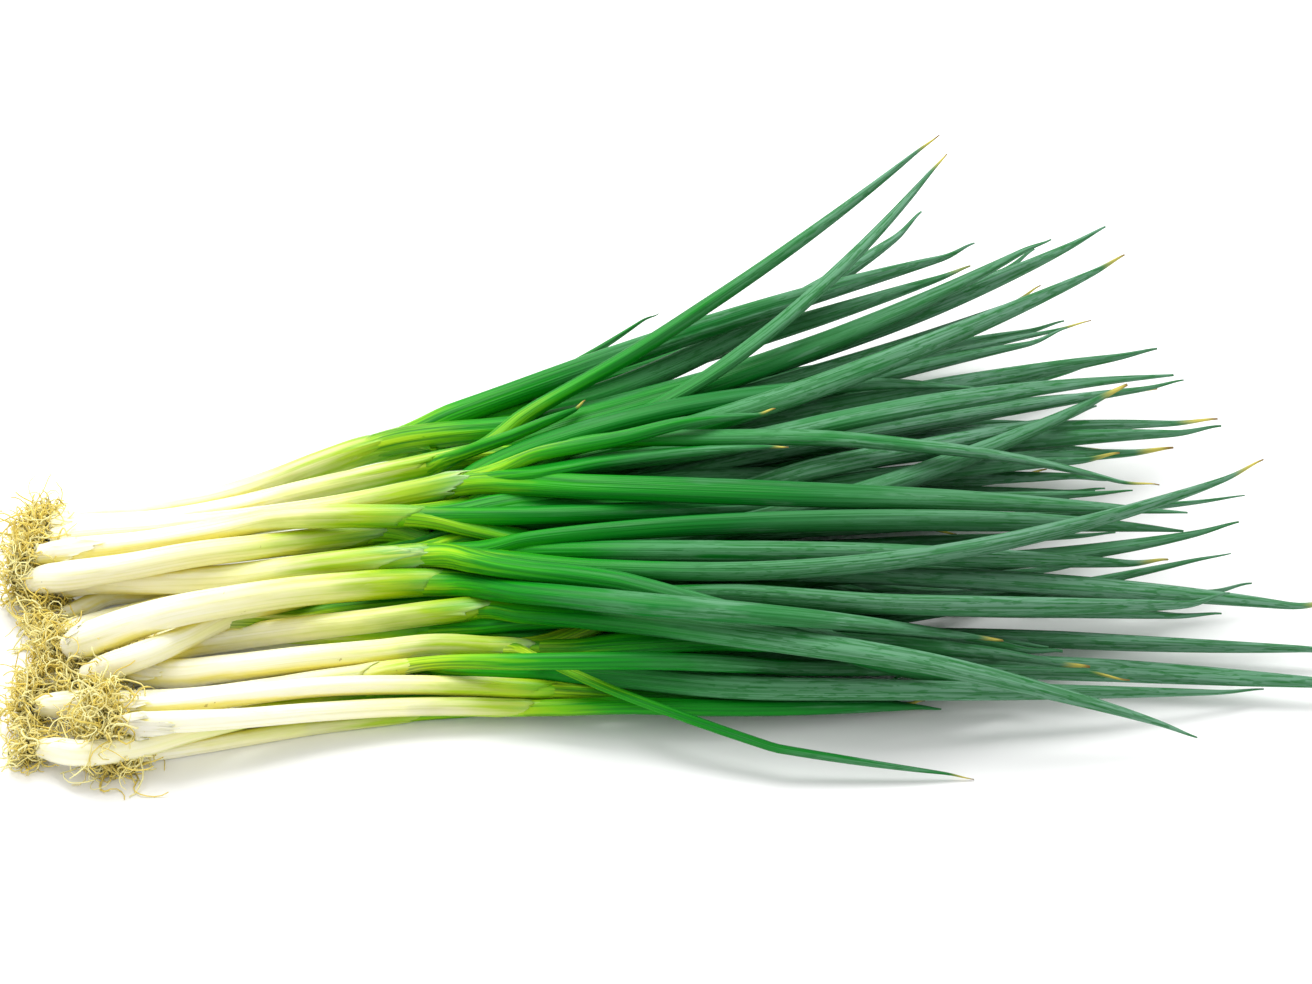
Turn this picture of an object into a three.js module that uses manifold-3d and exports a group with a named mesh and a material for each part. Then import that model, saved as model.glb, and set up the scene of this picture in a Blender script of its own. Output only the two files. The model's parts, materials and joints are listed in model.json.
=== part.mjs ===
import * as THREE from "three";
import { mergeVertices } from "three/addons/utils/BufferGeometryUtils.js";
import ManifoldModule from "manifold-3d";

// A bunch of twenty spring onions lying loose on a table, side by side and partly crossed.
// Millimetres. While the plants are laid out, x runs from the roots to the leaf tips, y from the
// front of the bunch to its back, and the table top is z = 0.

// Driving dimensions: the gap between touching skins, the root tuft, the collar at the neck, how
// far up the collar the leaves start, and the low leaves that fill the pile.
const SKIN_GAP = 0.6;
const TUFT_LENGTH = 13;
const TUFT_WAIST = 0.55 * TUFT_LENGTH;
const TUFT_RADIUS = 4.4;
const TUFT_END_RADIUS = 0.8 * TUFT_RADIUS;
const COLLAR_LENGTH = 20;
const COLLAR_START = 0.4;
const LEAF_START = 2.2;
const LEAF_STAGGER = 0.8;
const LEAF_SWING = 0.3;
const INNER_REACH = 300;
const INNER_REACH_SPREAD = 85;
const INNER_FAN = 46;
const INNER_HEIGHT = 2;
const INNER_HEIGHT_SPREAD = 12;
const INNER_BOW = 8;
const INNER_LIFT = 4;
const INNER_DIAMETER = 5.8;
const INNER_DIAMETER_SPREAD = 1.2;
const GOLDEN = 0.618034;

// How many sides a shaft, a tuft or a collar has, and how many a leaf has.
const SHAFT_SIDES = 8;
const LEAF_SIDES = 6;

// Where the rings stand along a shaft and along a leaf, as a share of its length, and how thick
// the piece is there, as a share of its own radius: a bulb at the foot of the shaft, then an even
// stalk; a leaf that swells out of the neck, stays even and draws to a point.
const SHAFT_AT = [0, 0.05, 0.13, 0.3, 0.5, 0.7, 0.87, 1];
const SHAFT_SHAPE = [0.72, 1.02, 1.1, 1, 0.96, 0.94, 0.94, 0.9];
const LEAF_AT = [0, 0.08, 0.22, 0.4, 0.58, 0.75, 0.89, 1];
const LEAF_SHAPE = [0.7, 0.84, 0.97, 1, 1, 0.92, 0.58, 0.1];
const COLLAR_SHAPE = [0.97, 0.85, 0.5];
const TUFT_NECK = 0.9;

// The way the plants settle on one another: they first spring back to the run they grew with and
// keep their curve, then mostly give way where they press. The bunch was laid down from the back,
// so its plants lean on one another, and they part along that lean rather than across it.
const ROUNDS = 260;
const LOOSE_ROUNDS = 200;
const ROUNDS_PER_LIST = 12;
const LOOSE = { strength: 0.04, stiffness: 0.12 };
const FIRM = { strength: 0.002, stiffness: 0.02 };
const PRESSES = [0.35, 0.5];
const LEAN = THREE.MathUtils.degToRad(40);
const ACROSS_GIVE = 0.1;
const CROSSED = 0.5;

// How readily each part of a plant gives way: a thin inner leaf more than a stalk.
const YIELDS = { axis: 0.5, outer: 1, inner: 5 };
const NEIGHBOUR_REACH = 18;
const LAST_REACH = 16;
const FIRST_FREE_STRETCH = 2;

// A plant on the table presses a narrow flat there: its axis stands this share of its radius up.
const STANDS_AT = { axis: 0.9, leaf: 0.85 };

// Where it's still too tight, the plants themselves give a little.
const SQUEEZE_ROUNDS = 40;
const SQUEEZE_SHARE = 0.3;
const MOST_SQUEEZE = 0.3;
const THINNEST = 0.5;

// Corners closer than MERGE are one corner, and a union loses the slivers under SLIVER.
const MERGE = 1e-4;
const SLIVER = 0.02;
const PARALLEL = 1e-6;
const UP = new THREE.Vector3(0, 0, 1);
const ACROSS_LEAN = new THREE.Vector3(0, Math.sin(LEAN), Math.cos(LEAN));

// One row per onion, from the front of the bunch to the back. "shaft" is the stalk's diameter and
// "path" runs from its basal plate to its neck. Each leaf is [tip x, y, z, how far its middle is
// bowed to the back, how far its middle is lifted, diameter]. "inner" is how many more leaves lie
// low in the pile, and the y that their tips gather about.
const ONIONS = [
  { shaft: 5.2, inner: [1, 62], path: [
    [52, 11.5, 2], [62, 13, 2], [77, 16.5, 2], [109, 25.5, 2], [139, 31.5, 2],
  ], leaves: [
    [258, 38, 4, 1, 2, 6],
  ] },
  { shaft: 5.8, inner: [2, 62], path: [
    [51, 19, 2.5], [64, 19.5, 3.5], [77, 21.5, 4], [108, 31, 3.5], [134, 39, 2.5],
  ], leaves: [] },
  { shaft: 7.4, inner: [1, 44], path: [
    [26, 16, 3], [46, 13.5, 6], [68, 19.5, 7.5], [118, 38.5, 5.5],
  ], leaves: [] },
  { shaft: 6.2, inner: [0, 56], path: [
    [52, 18, 10.5], [78, 18, 12], [109, 24.5, 10], [141, 30.5, 7.5], [176, 34, 5.5],
  ], leaves: [
    [315, 35, 3, -3, 5, 6.4],
  ] },
  { shaft: 6.6, inner: [1, 48], path: [
    [49, 23, 13.5], [65, 23.5, 14], [109, 32, 14], [141, 36.5, 11.5], [182, 37.5, 9.5],
  ], leaves: [
    [310, 35, 2, 6, 2, 6],
  ] },
  { shaft: 7.8, inner: [1, 40], path: [
    [23, 32.5, 6], [37, 33, 7], [70, 33, 8], [127, 44.5, 8],
  ], leaves: [] },
  { shaft: 8.4, inner: [2, 66], path: [
    [50, 47, 7], [69, 45.5, 8.5], [107, 49, 10.5], [140, 52, 10.5], [169, 53.5, 10.5],
  ], leaves: [
    [340, 38, 7, -3, 9, 7.8],
    [463, 40, 7, 2, 1, 8.6],
    [324, 5, 1, -7, 3, 5.8],
  ] },
  { shaft: 6.6, inner: [3, 80], path: [
    [22, 45.5, 3], [62, 45.5, 3], [139, 52.5, 3],
  ], leaves: [
    [420, 41, 4, -13, 10, 6.8],
  ] },
  { shaft: 8, inner: [3, 128], path: [
    [37, 45, 7.5], [49, 50.5, 10], [73, 65.5, 11], [127, 93.5, 8],
  ], leaves: [
    [417, 160, 20, 11, 8, 6.8],
    [416, 145, 28, 10, 7, 7],
    [381, 138, 22, 4, 8, 6.6],
    [400, 147, 18, 3, 10, 7.2],
  ] },
  { shaft: 10.4, inner: [2, 94], path: [
    [34, 54.5, 10.5], [49, 55.5, 14.5], [74, 63.5, 17], [106, 75, 16.5], [142, 82, 16.5],
  ], leaves: [
    [410, 64, 22, -25, 17, 8.4],
    [449, 70, 13, -3, 12, 8],
    [335, 54, 15, -22, 20, 7.6],
  ] },
  { shaft: 7.6, inner: [2, 84], path: [
    [55, 57.5, 6], [73, 66, 6.5], [106, 68.5, 8.5], [139, 69.5, 11], [162, 70, 13.5],
  ], leaves: [
    [396, 20, 5, -10, 22, 7.8],
    [453, 58, 7, -3, 0, 8],
  ] },
  { shaft: 7, inner: [3, 100], path: [
    [33, 56, 3], [67, 61.5, 3], [106, 66, 3.5], [139, 68.5, 5],
  ], leaves: [
    [355, 52, 9, -1, 14, 6.4],
    [408, 67, 13, -5, 10, 6.8],
    [421, 84, 9, -3, 8, 6.4],
    [415, 98, 15, -21, 8, 6.4],
  ] },
  { shaft: 7.2, inner: [3, 160], path: [
    [27, 65, 6], [46, 73, 6.5], [71, 84, 7], [114, 99.5, 9.5],
  ], leaves: [
    [407, 177, 24, -7, 13, 6.6],
    [398, 181, 18, -2, 13, 6.4],
    [385, 165, 33, -33, 5, 7],
  ] },
  { shaft: 6.2, inner: [3, 182], path: [
    [21, 76.5, 2.5], [45, 83.5, 2.5], [70, 92.5, 3], [113, 106, 5.5],
  ], leaves: [
    [377, 211, 24, 0, 11, 6.6],
    [368, 201, 26, -2, 12, 6.8],
    [369, 218, 18, 1, 11, 7],
  ] },
  { shaft: 9, inner: [2, 110], path: [
    [23, 90.5, 4], [44, 87.5, 7], [71, 88.5, 11], [105, 91.5, 14.5], [138, 90, 19.5],
  ], leaves: [
    [313, 31, 22, -9, 16, 7.2],
    [392, 83, 22, -18, 19, 8.4],
    [399, 103, 20, -13, 21, 7.8],
    [427, 124, 31, -46, 15, 8],
  ] },
  { shaft: 8.6, inner: [2, 150], path: [
    [15, 92, 7.5], [38, 90.5, 11], [71, 94, 14.5], [104, 98.5, 16.5], [129, 106.5, 12.5],
  ], leaves: [
    [402, 173, 31, -13, 22, 7.8],
    [398, 189, 29, -6, 12, 7.2],
    [374, 155, 29, -17, 12, 7.4],
    [332, 163, 33, 6, 18, 7.2],
  ] },
  { shaft: 8.2, inner: [3, 134], path: [
    [16, 95, 15], [38, 94.5, 17.5], [71, 98.5, 20.5], [104, 102.5, 23.5], [134, 103, 25.5],
  ], leaves: [
    [384, 123, 20, -4, 3, 7.6],
    [377, 132, 20, 1, 0, 6.8],
    [421, 118, 22, -8, -1, 6.6],
    [418, 106, 20, -29, 4, 6.8],
  ] },
  { shaft: 9.2, inner: [1, 122], path: [
    [19, 108, 11.5], [43, 108.5, 13.5], [76, 110.5, 16], [117, 114.5, 20], [150, 119, 24.5],
  ], leaves: [
    [400, 105, 26, -19, 18, 8],
    [263, 134, 45, -6, 6, 5.8],
    [267, 116, 46, -3, 6, 6],
    [391, 112, 29, 6, 18, 6.4],
    [389, 226, 42, -25, 10, 7.8],
  ] },
  { shaft: 8.4, inner: [3, 178], path: [
    [15, 119, 7.5], [41, 118, 9], [68, 121, 11], [109, 130.5, 15.5], [143, 137, 19.5],
  ], leaves: [
    [322, 237, 88, -5, -6, 6.2],
    [325, 238, 79, -36, -6, 6.4],
    [199, 146, 39, -7, 5, 5.2],
    [363, 231, 48, -27, 8, 8.2],
    [360, 223, 29, -23, 10, 7],
  ] },
  { shaft: 9.8, inner: [2, 195], path: [
    [18, 124.5, 3], [47, 129.5, 4], [74, 134.5, 6.5], [117, 154, 11],
  ], leaves: [
    [338, 246, 31, -6, 9, 7.8],
    [337, 247, 22, -9, 5, 7.6],
    [224, 225, 20, -4, -5, 4.8],
    [319, 256, 37, -22, -3, 8],
    [361, 256, 20, -24, 6, 6.8],
    [384, 246, 40, -34, 10, 7.4],
  ] },
];

const fraction = (value) => value - Math.floor(value);
const vector = (row) => new THREE.Vector3(row[0], row[1], row[2]);
const label = (index) => String(index + 1).padStart(2, "0");

// A leaf bows like a drawn string between the neck and its tip.
function leafCurve(neck, row) {
  const tip = vector(row);
  const middle = neck.clone().add(tip).multiplyScalar(0.5);
  const pull = middle.clone().add(new THREE.Vector3(0, 2 * row[3], 2 * row[4]));
  return new THREE.QuadraticBezierCurve3(neck.clone(), pull, tip);
}

// The low leaves of one onion share a fan, each a golden step on from the last.
function innerLeaves(index, onion) {
  const [count, aim] = onion.inner;
  const rows = [];
  for (let k = 0; k < count; k += 1) {
    const step = fraction((index * 3 + k + 1) * GOLDEN);
    const other = fraction((index * 5 + k * 2 + 1) * GOLDEN * GOLDEN);
    rows.push([
      INNER_REACH + INNER_REACH_SPREAD * step,
      aim + INNER_FAN * (count > 1 ? k / (count - 1) - 0.5 : 0),
      INNER_HEIGHT + INNER_HEIGHT_SPREAD * other,
      INNER_BOW * (other - 0.5),
      INNER_LIFT,
      INNER_DIAMETER + INNER_DIAMETER_SPREAD * step,
    ]);
  }
  return rows;
}

// A strand is a row of ring centres with a radius at each: an axis strand runs from the root
// tuft through the shaft into the collar at the neck, and every leaf is a strand of its own.
function makeStrand(onion, kind, points, radii) {
  return { onion, kind, points, radii, home: points.map((point) => point.clone()) };
}

function layOut() {
  const strands = [];
  ONIONS.forEach((onion, index) => {
    const radius = onion.shaft / 2;
    const curve = new THREE.CatmullRomCurve3(onion.path.map(vector));
    const shaft = SHAFT_AT.map((at) => curve.getPointAt(at));
    const foot = curve.getTangentAt(0);
    const head = curve.getTangentAt(1);
    const tuft = [TUFT_LENGTH, TUFT_WAIST].map((back) => (
      shaft[0].clone().addScaledVector(foot, -back)
    ));
    const collar = shaft[shaft.length - 1].clone().addScaledVector(head, COLLAR_LENGTH);
    const shape = [...SHAFT_SHAPE, COLLAR_SHAPE[2]].map((part) => part * radius);
    const axis = makeStrand(
      index,
      "axis",
      [...tuft, ...shaft, collar],
      [TUFT_END_RADIUS, TUFT_RADIUS, ...shape],
    );
    axis.yields = YIELDS.axis;
    strands.push(axis);
    const rows = [...onion.leaves, ...innerLeaves(index, onion)];
    rows.forEach((row, order) => {
      const neck = shaft[shaft.length - 1].clone();
      const path = leafCurve(neck, row);
      const points = LEAF_AT.map((at) => path.getPointAt(at));
      const radii = LEAF_SHAPE.map((part) => (part * row[5]) / 2);
      const strand = makeStrand(index, "leaf", points, radii);
      strand.order = order;
      strand.yields = order < onion.leaves.length ? YIELDS.outer : YIELDS.inner;
      strand.axis = axis;
      strands.push(strand);
    });
  });
  return strands;
}

// Nearest points of two straight stretches, as shares along each.
const along1 = new THREE.Vector3();
const along2 = new THREE.Vector3();
const apart = new THREE.Vector3();
function nearest(a0, a1, b0, b1) {
  along1.subVectors(a1, a0);
  along2.subVectors(b1, b0);
  apart.subVectors(a0, b0);
  const a = along1.lengthSq();
  const e = along2.lengthSq();
  const f = along2.dot(apart);
  const b = along1.dot(along2);
  const c = along1.dot(apart);
  const spread = a * e - b * b;
  let s = spread > PARALLEL ? THREE.MathUtils.clamp((b * f - c * e) / spread, 0, 1) : 0.5;
  let t = (b * s + f) / e;
  if (t < 0 || t > 1) {
    t = THREE.MathUtils.clamp(t, 0, 1);
    s = THREE.MathUtils.clamp((b * t - c) / a, 0, 1);
  }
  return [s, t];
}

// Two stretches can't press on each other where they belong to one plant close to its neck.
function mayTouch(first, second) {
  if (first.strand === second.strand) {
    return false;
  }
  if (first.strand.onion !== second.strand.onion) {
    return true;
  }
  const bothLeaves = first.strand.kind === "leaf" && second.strand.kind === "leaf";
  return bothLeaves && Math.min(first.index, second.index) >= FIRST_FREE_STRETCH;
}

function listStretches(strands) {
  const stretches = [];
  strands.forEach((strand) => {
    for (let index = 0; index + 1 < strand.points.length; index += 1) {
      stretches.push({ strand, index });
    }
  });
  return stretches;
}

function listNeighbours(stretches, reach) {
  const pairs = [];
  for (let i = 0; i < stretches.length; i += 1) {
    for (let j = i + 1; j < stretches.length; j += 1) {
      const first = stretches[i];
      const second = stretches[j];
      if (mayTouch(first, second)) {
        const [a0, a1] = first.strand.points.slice(first.index, first.index + 2);
        const [b0, b1] = second.strand.points.slice(second.index, second.index + 2);
        const [s, t] = nearest(a0, a1, b0, b1);
        const gap = a0.clone().lerp(a1, s).distanceTo(b0.clone().lerp(b1, t));
        if (gap < reach) {
          pairs.push([first, second]);
        }
      }
    }
  }
  return pairs;
}

function measure(first, second) {
  const a0 = first.strand.points[first.index];
  const a1 = first.strand.points[first.index + 1];
  const b0 = second.strand.points[second.index];
  const b1 = second.strand.points[second.index + 1];
  const [s, t] = nearest(a0, a1, b0, b1);
  const away = a0.clone().lerp(a1, s).sub(b0.clone().lerp(b1, t));
  const radii1 = first.strand.radii;
  const radii2 = second.strand.radii;
  const wanted = THREE.MathUtils.lerp(radii1[first.index], radii1[first.index + 1], s)
    + THREE.MathUtils.lerp(radii2[second.index], radii2[second.index + 1], t) + SKIN_GAP;
  return { away, s, t, short: wanted - away.length() };
}

// Moves a stretch by moving its ends, the nearer one to the contact the further.
function shove({ strand, index }, share, away, size) {
  strand.points[index].addScaledVector(away, (1 - share) * size);
  strand.points[index + 1].addScaledVector(away, share * size);
}

// Each contact parts its two stretches, and the one that yields more readily moves further.
function pressApart(pairs, firmness) {
  pairs.forEach(([first, second]) => {
    const { away, s, t, short } = measure(first, second);
    if (short > 0) {
      if (away.length() < CROSSED) {
        away.z += 1;
      }
      away.addScaledVector(ACROSS_LEAN, (ACROSS_GIVE - 1) * away.dot(ACROSS_LEAN));
      away.normalize().multiplyScalar(short * firmness);
      const evenly = (first.strand.yields + second.strand.yields) / 2;
      shove(first, s, away, first.strand.yields / evenly);
      shove(second, t, away, -second.strand.yields / evenly);
    }
  });
}

// Every strand springs back towards the run it grew with and keeps its own curve.
function springBack(strands, { strength, stiffness }) {
  strands.forEach(({ points, home }) => {
    const sag = points.map((point, index) => {
      if (index === 0 || index === points.length - 1) {
        return new THREE.Vector3();
      }
      const bend = points[index - 1].clone().add(points[index + 1]).multiplyScalar(0.5).sub(point);
      const grown = home[index - 1].clone().add(home[index + 1]).multiplyScalar(0.5);
      return bend.sub(grown.sub(home[index]));
    });
    points.forEach((point, index) => {
      point.addScaledVector(sag[index], stiffness);
      point.addScaledVector(home[index].clone().sub(point), strength);
    });
  });
}

// Nothing sinks into the table beyond its flat.
function restOnTable(strands) {
  strands.forEach(({ kind, points, radii }) => {
    points.forEach((point, index) => {
      point.z = Math.max(point.z, radii[index] * STANDS_AT[kind]);
    });
  });
}

// The leaves of a plant leave its neck one above the other, to alternate sides.
function holdNecks(strands) {
  strands.filter(({ kind }) => kind === "leaf").forEach((strand) => {
    const { points: stalk, radii } = strand.axis;
    const neck = stalk[stalk.length - 2];
    const head = stalk[stalk.length - 1].clone().sub(neck).normalize();
    const side = UP.clone().cross(head).normalize();
    const swing = (strand.order % 2 ? 1 : -1) * radii[radii.length - 2] * LEAF_SWING;
    const start = LEAF_START + LEAF_STAGGER * strand.order;
    strand.points[0].copy(neck).addScaledVector(head, start).addScaledVector(side, swing);
  });
}

function settle(strands) {
  const stretches = listStretches(strands);
  let pairs = [];
  for (let round = 0; round < ROUNDS; round += 1) {
    if (round % ROUNDS_PER_LIST === 0) {
      pairs = listNeighbours(stretches, NEIGHBOUR_REACH);
    }
    springBack(strands, round < LOOSE_ROUNDS ? LOOSE : FIRM);
    PRESSES.forEach((firmness) => pressApart(pairs, firmness));
    restOnTable(strands);
    holdNecks(strands);
  }
  return listNeighbours(stretches, LAST_REACH);
}

function thin(radii, index, loss) {
  radii[index] = Math.max(radii[index] - loss, THINNEST);
}

function squeeze(pairs) {
  for (let round = 0; round < SQUEEZE_ROUNDS; round += 1) {
    pairs.forEach(([first, second]) => {
      const { s, t, short } = measure(first, second);
      if (short > 0) {
        [[first, 1 - s, s], [second, 1 - t, t]].forEach(([stretch, near, far]) => {
          const give = Math.min(short * SQUEEZE_SHARE, MOST_SQUEEZE);
          thin(stretch.strand.radii, stretch.index, give * near);
          thin(stretch.strand.radii, stretch.index + 1, give * far);
        });
      }
    });
  }
}

// A closed tapering tube: a lathed profile that starts and ends on its axis, bent so that each of
// its rings stands square on the strand, a flat side down, and pressed flat where it meets z = 0.
function bentTube(stations, sides) {
  const last = stations.length - 1;
  const profile = stations.map(({ radius }, index) => new THREE.Vector2(radius, index));
  const closed = [new THREE.Vector2(0, 0), ...profile, new THREE.Vector2(0, last)];
  const lathe = new THREE.LatheGeometry(closed, sides, Math.PI / sides);
  lathe.deleteAttribute("uv");
  lathe.deleteAttribute("normal");
  const position = lathe.attributes.position;
  const spot = new THREE.Vector3();
  for (let index = 0; index < position.count; index += 1) {
    spot.fromBufferAttribute(position, index);
    const station = stations[Math.round(spot.y)];
    const ahead = station.facing;
    const side = new THREE.Vector3().crossVectors(ahead, UP).normalize();
    const lift = new THREE.Vector3().crossVectors(side, ahead);
    const placed = station.centre.clone();
    placed.addScaledVector(side, spot.x).addScaledVector(lift, spot.z);
    position.setXYZ(index, placed.x, placed.y, Math.max(placed.z, 0));
  }
  return tidy(lathe);
}

// Joins equal corners and drops the faces that shrink to nothing on the axis.
function tidy(geometry) {
  const merged = mergeVertices(geometry, MERGE);
  const source = merged.index.array;
  const kept = [];
  for (let index = 0; index < source.length; index += 3) {
    const [a, b, c] = source.slice(index, index + 3);
    if (a !== b && b !== c && a !== c) {
      kept.push(a, b, c);
    }
  }
  merged.setIndex(kept);
  return merged;
}

// Ring stations along a run of points: each faces along the middle of the two stretches it joins.
function stationsAlong(points, radii, firstFacing, lastFacing) {
  return points.map((centre, index) => {
    const before = points[Math.max(index - 1, 0)];
    const after = points[Math.min(index + 1, points.length - 1)];
    const facing = after.clone().sub(before).normalize();
    if (index === 0 && firstFacing) {
      facing.copy(firstFacing);
    }
    if (index === points.length - 1 && lastFacing) {
      facing.copy(lastFacing);
    }
    return { centre, radius: radii[index], facing };
  });
}

const wasm = await ManifoldModule();
wasm.setup();

function toSolid(geometry) {
  return new wasm.Manifold(new wasm.Mesh({
    numProp: 3,
    vertProperties: Float32Array.from(geometry.attributes.position.array),
    triVerts: Uint32Array.from(geometry.index.array),
  }));
}

function fromSolid(solid) {
  const mesh = solid.getMesh();
  const geometry = new THREE.BufferGeometry();
  geometry.setAttribute("position", new THREE.BufferAttribute(mesh.vertProperties, 3));
  geometry.setIndex(new THREE.BufferAttribute(mesh.triVerts, 1));
  return geometry;
}

const COLOURS = { stem: 0xf3f4d6, leaves: 0x2f7d4a, roots: 0xb9a56a };

function makePiece(kind, index, geometry) {
  const material = new THREE.MeshStandardMaterial({ color: COLOURS[kind], roughness: 0.6 });
  material.name = `${kind}_${label(index)}`;
  const facets = geometry.toNonIndexed();
  facets.computeVertexNormals();
  const piece = new THREE.Mesh(facets, material);
  piece.name = `onion_${label(index)}_${kind}`;
  return piece;
}

// The shaft: the white stalk, from its basal plate to its neck.
function makeStem(axis) {
  const points = axis.points.slice(2, -1);
  const radii = axis.radii.slice(2, -1);
  return stationsAlong(points, radii);
}

// The root tuft: a short brush of roots, full in the middle and ragged at its end.
function makeTuft(axis, crown) {
  const facing = crown.facing;
  const neck = crown.centre.clone().addScaledVector(facing, -COLLAR_START);
  const points = [axis.points[0], axis.points[1], neck];
  const radii = [axis.radii[0], axis.radii[1], crown.radius * TUFT_NECK];
  return stationsAlong(points, radii, null, facing);
}

// The neck: a short tapering collar, out of which the leaves come.
function makeCollar(axis, rim) {
  const { centre, facing, radius } = rim;
  const foot = centre.clone().addScaledVector(facing, COLLAR_START);
  const end = axis.points[axis.points.length - 1];
  const middle = foot.clone().lerp(end, 0.5);
  const tipRadius = axis.radii[axis.radii.length - 1];
  const radii = [radius * COLLAR_SHAPE[0], radius * COLLAR_SHAPE[1], tipRadius];
  return stationsAlong([foot, middle, end], radii, facing);
}

const strands = layOut();
squeeze(settle(strands));

const bunch = new THREE.Group();
bunch.name = "spring_onion_bunch";
strands.filter(({ kind }) => kind === "axis").forEach((axis) => {
  const stem = makeStem(axis);
  const tuft = makeTuft(axis, stem[0]);
  const collar = makeCollar(axis, stem[stem.length - 1]);
  const leaves = strands.filter((strand) => strand.axis === axis);
  const solids = [collar, ...leaves.map(({ points, radii }) => stationsAlong(points, radii))];
  const tubes = solids.map((stations) => toSolid(bentTube(stations, LEAF_SIDES)));
  const joined = wasm.Manifold.union(tubes).simplify(SLIVER);
  bunch.add(makePiece("stem", axis.onion, bentTube(stem, SHAFT_SIDES)));
  bunch.add(makePiece("leaves", axis.onion, fromSolid(joined)));
  bunch.add(makePiece("roots", axis.onion, bentTube(tuft, SHAFT_SIDES)));
});

// The bunch is handed over with the origin under the middle of its footprint.
const box = new THREE.Box3().setFromObject(bunch);
const middle = box.getCenter(new THREE.Vector3());
bunch.children.forEach((piece) => {
  piece.geometry.translate(-middle.x, -middle.y, 0);
});

export default bunch;
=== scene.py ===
# %% [markdown]
# # A loose bunch of spring onions
# Twenty slim plants lie side by side on a table, roots to the left and leaf tips to the right.
# Each plant is a set of leaves: their lower parts are sheaths, wrapped round one another into a
# white shaft, and their upper parts are hollow, pointed green blades.
#
# The measured model comes first. Everything made below follows its solids, so it is loaded
# before anything else.

# %% Load the measured model
import json
import math
import random
from collections import namedtuple

import bmesh
import bpy
import numpy as np
from mathutils import Matrix, Vector, noise
from mathutils.bvhtree import BVHTree

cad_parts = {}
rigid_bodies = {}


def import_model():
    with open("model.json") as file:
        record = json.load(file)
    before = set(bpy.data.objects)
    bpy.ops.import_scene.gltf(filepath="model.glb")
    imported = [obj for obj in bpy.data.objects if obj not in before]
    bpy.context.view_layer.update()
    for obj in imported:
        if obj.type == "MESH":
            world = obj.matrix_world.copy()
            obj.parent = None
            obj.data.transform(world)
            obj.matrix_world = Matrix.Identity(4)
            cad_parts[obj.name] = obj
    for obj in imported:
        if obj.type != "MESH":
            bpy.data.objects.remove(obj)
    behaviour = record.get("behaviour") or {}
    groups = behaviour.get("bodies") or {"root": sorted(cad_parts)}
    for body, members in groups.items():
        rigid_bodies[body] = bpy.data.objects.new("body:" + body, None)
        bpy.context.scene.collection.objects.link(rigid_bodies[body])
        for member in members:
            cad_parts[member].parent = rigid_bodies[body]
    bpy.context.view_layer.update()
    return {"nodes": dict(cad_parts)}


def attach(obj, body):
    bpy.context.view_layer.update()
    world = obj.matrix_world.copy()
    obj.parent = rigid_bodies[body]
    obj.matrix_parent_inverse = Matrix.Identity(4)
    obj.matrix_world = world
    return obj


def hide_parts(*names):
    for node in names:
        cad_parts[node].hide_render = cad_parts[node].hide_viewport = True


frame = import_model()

PLANTS = sorted({name.split("_")[1] for name in frame["nodes"]})
MM = 0.001
UP = Vector((0, 0, 1))

# %% [markdown]
# ## Camera, table and light
# The bunch is seen from in front and well above, through a long lens, so that the shafts and the
# leaves keep their true proportions. A camera can be aimed with a Track To constraint, but turning
# it once by the direction it looks in is simpler and leaves nothing behind to evaluate.

# %% Place the camera
CAMERA_AIM = Vector((-0.0090, -0.0005, 0.015))
CAMERA_ELEVATION = math.radians(40)
CAMERA_DISTANCE = 1.3
CAMERA_LENS = 104.9
SENSOR_WIDTH = 36

camera = bpy.data.objects.new("camera", bpy.data.cameras.new("camera"))
bpy.context.scene.collection.objects.link(camera)
bpy.context.scene.camera = camera
camera.data.lens = CAMERA_LENS
camera.data.sensor_width = SENSOR_WIDTH
backwards = Vector((0, -math.cos(CAMERA_ELEVATION), math.sin(CAMERA_ELEVATION)))
camera.location = CAMERA_AIM + backwards * CAMERA_DISTANCE
camera.rotation_euler = (-backwards).to_track_quat("-Z", "Y").to_euler()
print("camera at", tuple(round(v, 3) for v in camera.location))

# %% [markdown]
# The table is one large square of matt white. It is made much wider than the bunch, so that its
# edge never shows from low angles.

# %% Make the table top
def new_material(name, colour, roughness):
    """A material with one Principled shader, and that shader."""
    material = bpy.data.materials.new(name)
    material.use_nodes = True
    shader = material.node_tree.nodes["Principled BSDF"]
    shader.inputs["Base Color"].default_value = (*colour, 1)
    shader.inputs["Roughness"].default_value = roughness
    return material, shader


TABLE_REACH = 12.0
TABLE_WHITE = (0.92, 0.92, 0.92)
TABLE_ROUGHNESS = 0.9

table_mesh = bmesh.new()
bmesh.ops.create_grid(table_mesh, x_segments=1, y_segments=1, size=TABLE_REACH)
table = bpy.data.objects.new("table_top", bpy.data.meshes.new("table_top"))
table_mesh.to_mesh(table.data)
table_mesh.free()
bpy.context.scene.collection.objects.link(table)
table_white, _ = new_material("table_white", TABLE_WHITE, TABLE_ROUGHNESS)
table.data.materials.append(table_white)
print("table:", TABLE_REACH * 2, "m across")

# %% [markdown]
# White studio light comes from all round, so that the table is almost pure white, and one large
# soft lamp behind and above gives the highlights on the wax and a soft shadow in front.

# %% Light the scene
SKY_STRENGTH = 0.88
KEY_PLACE, KEY_AIM = (-0.35, 0.55, 1.1), (0, 0, 0.02)
KEY_WIDTH, KEY_POWER = 0.8, 17

world = bpy.data.worlds.new("studio")
bpy.context.scene.world = world
world.use_nodes = True
sky = world.node_tree.nodes["Background"]
sky.inputs["Color"].default_value = (1, 1, 1, 1)
sky.inputs["Strength"].default_value = SKY_STRENGTH


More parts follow.
